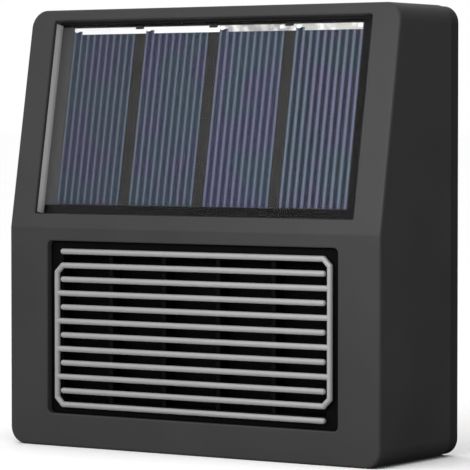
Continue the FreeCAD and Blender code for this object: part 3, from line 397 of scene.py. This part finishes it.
def insulation(name, colour):
    """Smooth skin of a wire, slightly mottled."""
    g = Graph(name, colour, 0.4)
    patches = g.spread(g.noise(4 * MM, 3.0), (0.3, 0.7))
    g.set("Base Color", g.blend(patches, shade(colour, 0.85), shade(colour, 1.15)))
    g.set("Roughness", g.spread(g.noise(0.4 * MM), (0.3, 0.7), (0.35, 0.5)))
    g.relief(g.noise(0.4 * MM, 2.0), 0.006 * MM)
    return g.material


def solar_width():
    low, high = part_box("solar_cell_1")
    return high.x - low.x


# ---------------------------------------------------------------- mesh helpers

def new_object(name, mesh, body="housing", smooth=False):
    piece = bpy.data.objects.new(name, mesh)
    bpy.context.scene.collection.objects.link(piece)
    if smooth:
        mesh.shade_smooth()
    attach(piece, body)
    return piece


def slope_matrix(name):
    """Frame of a flat CAD piece on the slope: x across, y up the slope, z out of the face.
    Also its width and its length up the slope."""
    mesh = nodes[name].data
    face = max(mesh.polygons, key=lambda p: p.area * (p.normal.y < 0))
    out = face.normal.normalized()
    across = Vector((1, 0, 0))
    upward = out.cross(across).normalized()
    if upward.z < 0:
        upward = -upward
    top = max(v.co.dot(out) for v in mesh.vertices)
    xs = [v.co.x for v in mesh.vertices]
    ups = [v.co.dot(upward) for v in mesh.vertices]
    middle = (
        across * (min(xs) + max(xs)) / 2 + upward * (min(ups) + max(ups)) / 2 + out * top
    )
    turn = Matrix((across, upward, out)).transposed().to_4x4()
    return Matrix.Translation(middle) @ turn, max(xs) - min(xs), max(ups) - min(ups)


def add_block(bm, low, high, place=None):
    """Box between two corners in the frame of place."""
    size = Vector(high) - Vector(low)
    middle = (Vector(high) + Vector(low)) / 2
    shape = Matrix.Translation(middle) @ Matrix.Diagonal((*size, 1.0))
    bmesh.ops.create_cube(bm, size=1.0, matrix=(place or Matrix()) @ shape)


def finish_mesh(bm, name):
    mesh = bpy.data.meshes.new(name)
    bm.to_mesh(mesh)
    bm.free()
    return mesh


def tube_mesh(name, paths, radii, sides, side_axis):
    """One mesh of wires along paths of points; side_axis is never along a path. The first of the radii
    is across both the path and side_axis, the second along side_axis."""
    points = []
    faces = []
    axis = np.array(side_axis, float)
    for path in paths:
        path = np.array(path, float)
        along = np.gradient(path, axis=0)
        along /= np.linalg.norm(along, axis=1)[:, None]
        first = np.cross(along, axis)
        first /= np.linalg.norm(first, axis=1)[:, None]
        second = np.cross(along, first)
        start = len(points)
        for k in range(len(path)):
            for j in range(sides):
                turn = 2 * math.pi * j / sides
                across = radii[0] * math.cos(turn) * first[k]
                points.append(path[k] + across + radii[1] * math.sin(turn) * second[k])
        for k in range(len(path) - 1):
            for j in range(sides):
                a = start + k * sides + j
                b = start + k * sides + (j + 1) % sides
                faces.append((a, a + sides, b + sides, b))
        faces.append(tuple(range(start, start + sides)))
        faces.append(tuple(reversed(range(len(points) - sides, len(points)))))
    mesh = bpy.data.meshes.new(name)
    mesh.from_pydata(points, [], faces)
    return mesh


def solids(name):
    """The separate solids of a CAD node, each as the list of its polygons' numbers."""
    bm = bmesh.new()
    bm.from_mesh(nodes[name].data)
    number = bm.faces.layers.int.new("number")
    for face in bm.faces:
        face[number] = face.index
    bmesh.ops.remove_doubles(bm, verts=bm.verts, dist=0.001 * MM)
    groups = []
    seen = set()
    for face in bm.faces:
        if face in seen:
            continue
        group = []
        edge_of_search = [face]
        seen.add(face)
        while edge_of_search:
            current = edge_of_search.pop()
            group.append(current[number])
            for edge in current.edges:
                for other in edge.link_faces:
                    if other not in seen:
                        seen.add(other)
                        edge_of_search.append(other)
        groups.append(group)
    bm.free()
    return groups


def solid_boxes(name):
    """Lowest and highest corners of each separate solid of a CAD node."""
    data = nodes[name].data
    boxes = []
    for group in solids(name):
        corners = [data.vertices[v].co for k in group for v in data.polygons[k].vertices]
        low = Vector([min(c[i] for c in corners) for i in range(3)])
        high = Vector([max(c[i] for c in corners) for i in range(3)])
        boxes.append((low, high))
    return boxes


# ---------------------------------------------------------------- solar panel

def cell_fingers(index, material):
    """Thin printed silver lines up a cell."""
    name = f"solar_cell_{index}"
    place, _, tall = slope_matrix(name)
    bm = bmesh.new()
    for k in range(FINGERS):
        x = (k - (FINGERS - 1) / 2) * FINGER_PITCH
        half = FINGER_CORE / 2
        low = (x - half, FINGER_END - tall / 2, 0)
        high = (x + half, tall / 2 - FINGER_END, FINGER_THICK)
        add_block(bm, low, high, place)
    piece = new_object(f"cell_fingers_{index}", finish_mesh(bm, name))
    piece.data.materials.append(material)


def painted_shade_bead(material):
    """Painted shade: a black fillet between the panel's face and the recess's bottom, right and top
    walls, standing in for the shade along them.
    """
    place, width, tall = slope_matrix("panel_glazing")
    x, y = width / 2 + BEAD_LAP, tall / 2 + BEAD_LAP
    route = (((-x, -y), (0, 1)), ((x, -y), (-1, 1)), ((x, y), (-1, -1)), ((-x, y), (0, -1)))
    section = [(0, 0)]
    for k in range(5):
        turn = math.radians(22.5 * k)
        section.append((BEAD * (1 - math.cos(turn)), BEAD * (1 - math.sin(turn))))
    bm = bmesh.new()
    rings = []
    for (corner_x, corner_y), (in_x, in_y) in route:
        ring = [(corner_x + in_x * off, corner_y + in_y * off, out) for off, out in section]
        rings.append([bm.verts.new(place @ Vector(point)) for point in ring])
    for ring, following in zip(rings, rings[1:]):
        for j in range(len(section)):
            k = (j + 1) % len(section)
            bm.faces.new((ring[j], ring[k], following[k], following[j]))
    bm.faces.new(rings[0])
    bm.faces.new(rings[-1])
    bmesh.ops.recalc_face_normals(bm, faces=bm.faces)
    piece = new_object("panel_shade_bead", finish_mesh(bm, "panel_shade_bead"))
    piece.data.materials.append(material)


def ribbon_material():
    """Rolled tin: bright over the first two cells, dull over the third, paler again over the last."""
    bright, dull, pale = (0.86, 0.86, 0.84), (0.36, 0.36, 0.35), (0.50, 0.50, 0.47)
    third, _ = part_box("solar_cell_3")
    fourth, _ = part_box("solar_cell_4")
    g = Graph("rolled_tin", bright, 0.4, 1.0)
    rolled = g.spread(g.noise(0.4 * MM, 3.0, (0.05, 1, 1)), (0.3, 0.7))
    bright_patches = g.spread(g.noise(3 * MM, 3.0), (0.45, 0.7))
    # Darker tin over the third and the last cell, broken by bright patches.
    tone_by_cell = g.blend(g.sum("GREATER_THAN", g.axis("X"), fourth.x), dull, pale)
    tone_by_cell = g.blend(bright_patches, tone_by_cell, bright)
    tone = g.blend(g.sum("GREATER_THAN", g.axis("X"), third.x), bright, tone_by_cell)
    g.set("Base Color", tone)
    g.set("Roughness", g.spread(rolled, (0.0, 1.0), (0.34, 0.48)))
    g.relief(rolled, 0.004 * MM)
    return g.material


def ribbon_solder():
    """Blobs of solder where the ribbons are joined to the cells."""
    place, _, tall = slope_matrix("cell_ribbons")
    bm = bmesh.new()
    for index in CELL_CONTRAST:
        low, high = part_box(f"solar_cell_{index}")
        for x in (low.x + SOLDER_INSET, high.x - SOLDER_INSET):
            centre = place @ Matrix.Translation((x - place.translation.x, tall * SOLDER_UP, 0))
            shape = centre @ Matrix.Diagonal((*SOLDER_HALF, 1.0))
            bmesh.ops.create_uvsphere(bm, u_segments=16, v_segments=10, radius=1.0, matrix=shape)
    mesh = finish_mesh(bm, "ribbon_solder")
    piece = new_object("ribbon_solder", mesh, smooth=True)
    piece.data.materials.append(plated("soft_solder", (0.9, 0.9, 0.89), 0.35))


def build_panel():
    for index, (dark, pale) in CELL_CONTRAST.items():
        low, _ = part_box(f"solar_cell_{index}")
        give(silicon(index, low.x, dark, pale), f"solar_cell_{index}")
    silver = brushed("printed_silver", (0.13, 0.145, 0.18), 0.5, metal=0.2)
    for index in CELL_CONTRAST:
        cell_fingers(index, silver)
    give(glazing_material(), "panel_glazing")
    give(ribbon_material(), "cell_ribbons")
    ribbon_solder()
    give(laminate_material(), "panel_backboard")
    give(brushed("edge_strip", (0.55, 0.55, 0.55), 0.5, metal=0.2), "panel_edge_strip")
    # Painted shade: black bead along the recess's bottom, right and top walls.
    painted_shade_bead(rubber("shade_bead_black", (0.005, 0.005, 0.005), rough=0.5, specular_ior_level=0.2))


# ---------------------------------------------------------------- stage

def build_camera():
    azimuth = math.radians(CAMERA_AZIMUTH)
    tilt = math.radians(CAMERA_TILT)
    flat = math.cos(tilt)
    aim = Vector((-math.sin(azimuth) * flat, math.cos(azimuth) * flat, -math.sin(tilt)))
    camera = bpy.data.objects.new("camera", bpy.data.cameras.new("camera"))
    camera.data.lens = CAMERA_LENS
    camera.data.sensor_width = 36.0
    camera.data.clip_start = 0.01
    camera.data.clip_end = 200.0
    camera.location = CAMERA_PLACE
    camera.rotation_euler = aim.to_track_quat("-Z", "Y").to_euler()
    bpy.context.scene.collection.objects.link(camera)
    bpy.context.scene.camera = camera


def softbox(name, place, target, side, watts):
    light = bpy.data.lights.new(name, "AREA")
    light.shape = "SQUARE"
    light.size = side
    light.energy = watts
    lamp = bpy.data.objects.new(name, light)
    lamp.location = place
    lamp.rotation_euler = (Vector(target) - Vector(place)).to_track_quat("-Z", "Y").to_euler()
    lamp.visible_camera = False
    bpy.context.scene.collection.objects.link(lamp)


def sky_lobe(tree, direction, start, strength):
    """Brightness that grows from a cosine of start to its most along direction."""
    place = tree.nodes.new("ShaderNodeTexCoord")
    dot = tree.nodes.new("ShaderNodeVectorMath")
    dot.operation = "DOT_PRODUCT"
    dot.inputs[1].default_value = Vector(direction).normalized()
    tree.links.new(place.outputs["Generated"], dot.inputs[0])
    grow = tree.nodes.new("ShaderNodeMapRange")
    grow.inputs["From Min"].default_value = start
    grow.inputs["To Max"].default_value = strength
    tree.links.new(dot.outputs["Value"], grow.inputs["Value"])
    return grow.outputs[0]


def build_world():
    """White to the camera; to the object, a dim sky that is brighter above and on the left."""
    world = bpy.data.worlds.new("studio")
    bpy.context.scene.world = world
    world.use_nodes = True
    tree = world.node_tree
    seen = tree.nodes.new("ShaderNodeBackground")
    seen.inputs["Color"].default_value = (1, 1, 1, 1)
    ambient = tree.nodes["Background"]
    ambient.inputs["Color"].default_value = (1, 1, 1, 1)
    total = tree.nodes.new("ShaderNodeMath")
    for socket, lobe in zip(total.inputs, SKY_LOBES):
        tree.links.new(sky_lobe(tree, *lobe), socket)
    tree.links.new(total.outputs[0], ambient.inputs["Strength"])
    path = tree.nodes.new("ShaderNodeLightPath")
    mix = tree.nodes.new("ShaderNodeMixShader")
    tree.links.new(path.outputs["Is Camera Ray"], mix.inputs[0])
    tree.links.new(ambient.outputs[0], mix.inputs[1])
    tree.links.new(seen.outputs[0], mix.inputs[2])
    tree.links.new(mix.outputs[0], tree.nodes["World Output"].inputs["Surface"])


def build_stage():
    bpy.context.scene.view_settings.view_transform = "Standard"
    mesh = bpy.data.meshes.new("floor")
    z = cad_box[0][2] - FLOOR_GAP
    r = FLOOR_HALF
    mesh.from_pydata([(-r, -r, z), (r, -r, z), (r, r, z), (-r, r, z)], [], [(0, 1, 2, 3)])
    floor = bpy.data.objects.new("floor", mesh)
    bpy.context.scene.collection.objects.link(floor)
    floor.visible_glossy = False
    g = Graph("pale_floor", (0.99, 0.99, 0.99), 0.9, specular_ior_level=0.1)
    patches = g.spread(g.noise(0.4), (0.3, 0.7))
    g.set("Base Color", g.blend(patches, (0.985, 0.985, 0.985), (1.0, 1.0, 1.0)))
    mesh.materials.append(g.material)

    sun = bpy.data.lights.new("overhead", "SUN")
    sun.energy = SUN_POWER
    sun.angle = math.radians(SUN_ANGLE)
    lamp = bpy.data.objects.new("overhead", sun)
    lamp.rotation_euler = (math.radians(SUN_TURN[0]), math.radians(SUN_TURN[1]), 0)
    bpy.context.scene.collection.objects.link(lamp)
    for name, box in SOFTBOXES.items():
        softbox(name, *box)


# ---------------------------------------------------------------- guard and seals

def woven_screen(material):
    """Dutch weave: straight warp wires, and flattened weft wires so close that they overlap."""
    low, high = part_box("insect_screen")
    middle = (low.y + high.y) / 2
    xs = np.arange(low.x + WARP_RADIUS, high.x, WARP_PITCH)
    zs = np.arange(low.z + WEFT_RADII[0], high.z - WEFT_RADII[0], WEFT_PITCH)
    warp = [[(x, middle, low.z), (x, middle, high.z)] for x in xs]
    weft = []
    for j, z in enumerate(zs):
        weft.append([(x, middle + WEFT_WAVE * (-1) ** (i + j), z) for i, x in enumerate(xs)])
    bm = bmesh.new()
    for paths, radii in ((warp, (WARP_RADIUS, WARP_RADIUS)), (weft, WEFT_RADII)):
        part = tube_mesh("wires", paths, radii, 4, (0, 1, 0))
        bm.from_mesh(part)
        bpy.data.meshes.remove(part)
    mesh = finish_mesh(bm, "insect_mesh")
    mesh.materials.append(material)
    piece = new_object("insect_mesh", mesh, smooth=True)
    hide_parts("insect_screen")


def foam_strip(material):
    """Crowned strip of foam round the air inlets; it touches the wall along its middle."""
    low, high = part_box("wall_seal")
    inner = min(abs(v.co.x) for v in nodes["wall_seal"].data.vertices)
    wide = high.x - inner
    half_x = (high.x + inner) / 2
    half_z = (high.z - low.z - wide) / 2
    centre_z = (high.z + low.z) / 2
    path = []
    for sx, sz, start in ((1, 1, 0), (-1, 1, 90), (-1, -1, 180), (1, -1, 270)):
        for k in range(SEAL_STEPS + 1):
            turn = math.radians(start + 90 * k / SEAL_STEPS)
            outward = Vector((math.cos(turn), 0, math.sin(turn)))
            across, up = sx * (half_x - SEAL_CORNER), centre_z + sz * (half_z - SEAL_CORNER)
            path.append((Vector((across, 0, up)) + outward * SEAL_CORNER, outward))
    section = []
    for k in range(SEAL_STEPS + 1):
        share = 2 * k / SEAL_STEPS - 1
        section.append((share * wide / 2, high.y - SEAL_EDGE * share**4))
    section += [(wide / 2, low.y), (-wide / 2, low.y)]
    bm = bmesh.new()
    rings = []
    for k, (point, outward) in enumerate(path):
        sag = SEAL_SAG[0] + SEAL_SAG[1] * math.sin(k * 1.7)
        ring = []
        for off, y in section:
            drop = sag if y > low.y else 0.0
            ring.append(bm.verts.new(point + outward * off + Vector((0, y - drop, 0))))
        rings.append(ring)
    for ring, following in zip(rings, rings[1:] + rings[:1]):
        for j in range(len(section)):
            k = (j + 1) % len(section)
            bm.faces.new((ring[j], ring[k], following[k], following[j]))
    bmesh.ops.recalc_face_normals(bm, faces=bm.faces)
    piece = new_object("foam_strip", finish_mesh(bm, "foam_strip"), smooth=True)
    piece.data.materials.append(material)
    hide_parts("wall_seal")


def rounded_loop(half_x, half_y, steps):
    """Points of one turn of wire round a pole, as a superellipse."""
    loop = []
    for k in range(steps):
        turn = 2 * math.pi * k / steps
        x, y = (math.copysign(abs(c) ** 0.5, c) for c in (math.cos(turn), math.sin(turn)))
        loop.append((half_x * x, half_y * y))
    return loop


def wound_coils(side, material):
    """Four enamelled windings in two layers round the stator's poles."""
    low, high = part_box(f"stator_coils_{side}")
    centre = (low + high) / 2
    paths = []
    for pole in range(4):
        turn = Matrix.Rotation(math.radians(90 * pole), 4, "Y")
        for half_x, half_y in COIL_LAYERS:
            loop = rounded_loop(half_x, half_y, COIL_STEPS)
            path = []
            for k in range(COIL_STEPS * COIL_TURNS + 1):
                x, y = loop[k % COIL_STEPS]
                rise = (k / COIL_STEPS - COIL_TURNS / 2) * 2 * COIL_WIRE
                path.append(turn @ Vector((x, y, COIL_RADIUS + rise)) + centre)
            paths.append((path, turn @ Vector((0, 0, 1))))
    bm = bmesh.new()
    for path, axis in paths:
        mesh = tube_mesh("turns", [path], (COIL_WIRE, COIL_WIRE), 6, axis)
        bm.from_mesh(mesh)
        bpy.data.meshes.remove(mesh)
    mesh = finish_mesh(bm, "coil_turns")
    piece = new_object(f"coil_turns_{side}", mesh, smooth=True)
    piece.data.materials.append(material)
    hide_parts(f"stator_coils_{side}")


# ---------------------------------------------------------------- electronics

def board_details(copper, solder):
    """Tracks, solder joints and chip legs on the control board."""
    low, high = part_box("control_board")
    back = high.y
    tracks = bmesh.new()
    joints = bmesh.new()
    for box_low, box_high in solid_boxes("board_connectors"):
        x = (box_low.x + box_high.x) / 2
        z = (box_low.z + box_high.z) / 2
        for side in (-1, 1):
            pin = x + side * PIN_OFFSET
            middle = Matrix.Translation((pin, back + JOINT_TALL / 2, z))
            cone = {"radius1": JOINT_RADII[0], "radius2": JOINT_RADII[1], "depth": JOINT_TALL}
            cone["matrix"] = middle @ Matrix.Rotation(-math.pi / 2, 4, "X")
            bmesh.ops.create_cone(joints, cap_ends=True, segments=12, **cone)
            top = z + (5 + side + 0.5 * (x > 0)) * MM
            face = back + TRACE_THICK
            add_block(tracks, (pin - TRACE_HALF, back, z), (pin + TRACE_HALF, face, top))
            turn_x = pin + (TRACE_TURN if x < 0 else -TRACE_TURN)
            low_corner = (min(pin, turn_x), back, top - TRACE_HALF)
            add_block(tracks, low_corner, (max(pin, turn_x), face, top + TRACE_HALF))
    for box_low, box_high in solid_boxes("board_chips"):
        wide = box_high.x - box_low.x
        if wide < LEGGED_WIDTH or box_high.y - back > LEGGED_TALL:
            continue
        count = int(wide / LEG_PITCH)
        for k in range(count):
            x = (box_low.x + box_high.x) / 2 + (k - (count - 1) / 2) * LEG_PITCH
            for edge, out in ((box_low.z, -1), (box_high.z, 1)):
                for reach, tall in LEG_STEPS:
                    end = edge + out * reach
                    low_corner = (x - LEG_HALF, back, min(edge, end))
                    add_block(joints, low_corner, (x + LEG_HALF, back + tall, max(edge, end)))
    for name, bm, material, slot in (
        ("board_tracks", tracks, copper, "circuit_board"),
        ("board_joints", joints, solder, "contact_steel"),
    ):
        piece = new_object(name, finish_mesh(bm, name))
        piece.data.materials.append(material)


def colour_leads(red, black):
    """One red and one black wire in every pair."""
    for name in ("panel_leads", "battery_leads", "switch_leads", "fan_leads_left", "fan_leads_right"):
        data = nodes[name].data
        data.materials.clear()
        data.materials.append(red)
        data.materials.append(black)
        for number, group in enumerate(solids(name)):
            for k in group:
                data.polygons[k].material_index = number % 2


def dress_battery(sleeve, metal):
    """Sleeve round the can, bare metal on its end faces."""
    data = nodes["battery_cell"].data
    low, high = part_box("battery_cell")
    data.materials.clear()
    data.materials.append(sleeve)
    data.materials.append(metal)
    middle = (low + high) / 2
    for face in data.polygons:
        off = face.center - middle
        on_nib = face.center.x > high.x - NIB[0] and max(abs(off.y), abs(off.z)) < NIB[1]
        face.material_index = int(abs(face.normal.x) > 0.9 or on_nib)


def build_electronics():
    green = (0.008, 0.085, 0.03)
    steel = plated("nickel_plate", (0.62, 0.61, 0.57), 0.28, (1.0, 0.96, 0.88))
    give(solder_mask("board_green", green), "control_board", "motor_board_left", "motor_board_right")
    track = solder_mask("track_green", shade(green, 1.7))
    board_details(track, plated("solder", (0.72, 0.72, 0.72), 0.22))
    give(moulded("header_nylon", (0.72, 0.70, 0.62), 0.45, wear=1.0), "board_connectors")
    give(moulded("chip_epoxy", (0.012, 0.012, 0.013), 0.55, wear=1.0), "board_chips")
    give(brushed("drawn_can", (0.62, 0.62, 0.63), 0.3, (1, 0.05, 1)), "board_capacitors")
    give(moulded("holder_nylon", (0.014, 0.014, 0.014), 0.5), "battery_holder")
    give(steel, "battery_spring", "battery_contact")
    dress_battery(glossy_sleeve("battery_wrap", (0.03, 0.16, 0.10)), steel)
    red = insulation("red_pvc", (0.33, 0.012, 0.01))
    colour_leads(red, insulation("black_pvc", (0.012, 0.012, 0.012)))


# ---------------------------------------------------------------- dressing

def dress_case():
    give(moulded("housing_abs", (0.030, 0.030, 0.030), 0.48, specular_ior_level=0.25), "front_cover")
    give(moulded("rear_abs", (0.018, 0.018, 0.018), 0.5, specular_ior_level=0.25), "rear_cover")
    guard = moulded("guard_black", (0.002, 0.002, 0.002), 0.6, wear=1.0, specular_ior_level=0.05)
    give(guard, "guard_frame", "fan_plate")
    wire = brushed("satin_wire", (0.37, 0.37, 0.37), 0.6, (0.02, 1, 1), metal=0.4)
    give(wire, "right_wire_comb", "left_wire_comb")
    soft = rubber("seal_rubber", (0.012, 0.012, 0.012))
    give(soft, "case_gasket", "lead_grommet", "switch_oring")
    bubbles = foam("black_foam", (0.03, 0.03, 0.032))
    give(bubbles, "panel_seal")
    foam_strip(bubbles)
    zinc = plated("zinc_plate", (0.58, 0.59, 0.61), 0.32, (1.0, 0.95, 0.8))
    give(zinc, "case_screws", "guard_screws", "fan_screws", "electronics_screws")
    woven_screen(moulded("screen_paint", (0.003, 0.003, 0.003), 0.6, wear=1.0, specular_ior_level=0.08))
    give(brushed("turned_metal", (0.45, 0.45, 0.46), 0.3, (0.05, 1, 1)), "switch_body", "switch_nut")
    give(moulded("cap_plastic", (0.016, 0.016, 0.016), 0.28, depth=0.003 * MM), "button_cap")


def dress_fans():
    frame_plastic = moulded("fan_frame_plastic", (0.012, 0.012, 0.012), 0.5)
    blade = (0.014, 0.014, 0.014)
    blade_plastic = moulded("impeller_plastic", blade, 0.35, grain=0.8 * MM, depth=0.004 * MM)
    steel = laminated("core_sheets", (0.34, 0.34, 0.35))
    copper = insulation("enamelled_copper", (0.45, 0.13, 0.035))
    copper.node_tree.nodes["Principled BSDF"].inputs["Metallic"].default_value = 0.8
    yoke = plated("yoke_steel", (0.4, 0.4, 0.41), 0.35, (1.0, 0.97, 0.9))
    bronze = plated("sintered_bronze", (0.55, 0.36, 0.16), 0.45, (0.9, 0.85, 0.7))
    ground = brushed("ground_steel", (0.66, 0.66, 0.67), 0.18, (1, 0.3, 1))
    magnet = rubber("bonded_ferrite", (0.025, 0.024, 0.024), grain=0.3 * MM, rough=0.6)
    for side in ("left", "right"):
        give(frame_plastic, f"fan_frame_{side}")
        give(blade_plastic, f"impeller_{side}")
        give(steel, f"stator_core_{side}")
        give(yoke, f"rotor_yoke_{side}")
        give(magnet, f"magnet_ring_{side}")
        give(bronze, f"shaft_bush_{side}")
        give(ground, f"fan_shaft_{side}", f"shaft_clip_{side}")
        wound_coils(side, copper)


build_camera()
build_world()
build_stage()
dress_case()
build_panel()
build_electronics()
dress_fans()
